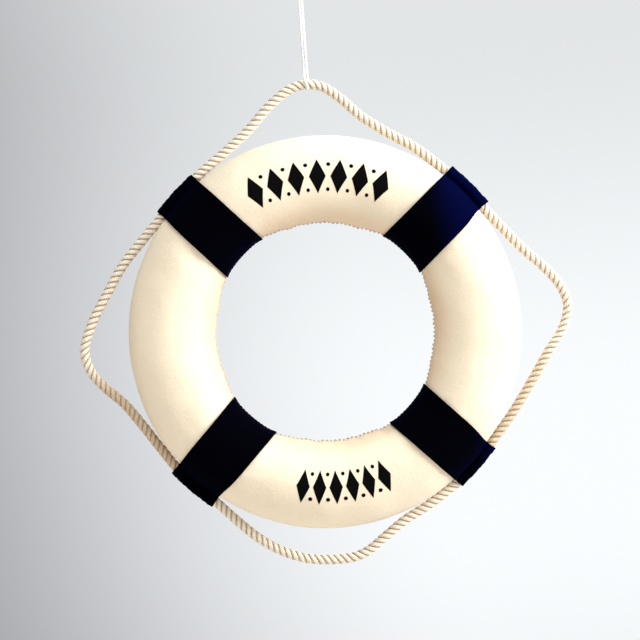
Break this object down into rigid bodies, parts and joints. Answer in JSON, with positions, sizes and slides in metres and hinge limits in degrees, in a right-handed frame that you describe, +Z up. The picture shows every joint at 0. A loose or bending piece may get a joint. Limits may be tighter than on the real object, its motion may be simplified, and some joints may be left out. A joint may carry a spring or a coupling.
{
  "type": "ring lifebuoy",
  "caption": "Small decorative ring lifebuoy: canvas-covered foam ring with navy cloth bands holding a laid grab rope, hung by a thin doubled cord.",
  "frame": {"origin": "middle of the ring", "axes": "+Y along the ring's axis towards its back, so the front faces -Y; +Z up as it hangs; +X to the right seen from the front"},
  "size_m": [0.4409, 0.0608, 0.5444],
  "materials": {
    "foam": "white expanded foam with a fine bead texture",
    "canvas": "cream cotton canvas, fine plain weave, matt",
    "seam_thread": "waxed cream cotton thread",
    "band_cloth": "very dark navy cotton cloth, slight sheen",
    "band_thread": "dark navy thread",
    "rope": "off-white three-strand cotton rope",
    "white_cord": "white soft cord"
  },
  "bodies": {
    "hanger": {"hanging_cord_eye": "white_cord", "hanging_cord_knot": "white_cord"},
    "cord_legs": {"hanging_cord_left_leg": "white_cord", "hanging_cord_right_leg": "white_cord"},
    "cord_bight": {"hanging_cord_bight": "white_cord"},
    "buoy": {"foam_core": "foam", "cover_panel_top": "canvas", "cover_seam_top": "seam_thread", "cover_panel_left": "canvas", "cover_seam_left": "seam_thread", "cover_panel_bottom": "canvas", "cover_seam_bottom": "seam_thread", "cover_panel_right": "canvas", "cover_seam_right": "seam_thread", "band_upper_right": "band_cloth", "band_seam_upper_right": "band_thread", "crease_stitch_upper_right_front": "band_thread", "crease_stitch_upper_right_back": "band_thread", "band_upper_left": "band_cloth", "band_seam_upper_left": "band_thread", "crease_stitch_upper_left_front": "band_thread", "crease_stitch_upper_left_back": "band_thread", "band_lower_left": "band_cloth", "band_seam_lower_left": "band_thread", "crease_stitch_lower_left_front": "band_thread", "crease_stitch_lower_left_back": "band_thread", "band_lower_right": "band_cloth", "band_seam_lower_right": "band_thread", "crease_stitch_lower_right_front": "band_thread", "crease_stitch_lower_right_back": "band_thread", "grab_rope": "rope"}
  },
  "joints": [
    {"name": "cord_twist", "type": "hinge", "parent": "hanger", "child": "cord_legs", "pos_m": [-0.001, 0, 0.3], "axis": [0, 0, 1], "range_deg": [-180, 180]},
    {"name": "side_sway", "type": "hinge", "parent": "cord_legs", "child": "cord_bight", "pos_m": [-0.001, 0, 0.2205], "axis": [0, 1, 0], "range_deg": [-45, 45]},
    {"name": "front_swing", "type": "hinge", "parent": "cord_bight", "child": "buoy", "pos_m": [-0.001, 0, 0.2205], "axis": [1, 0, 0], "range_deg": [-75, 75]}
  ]
}
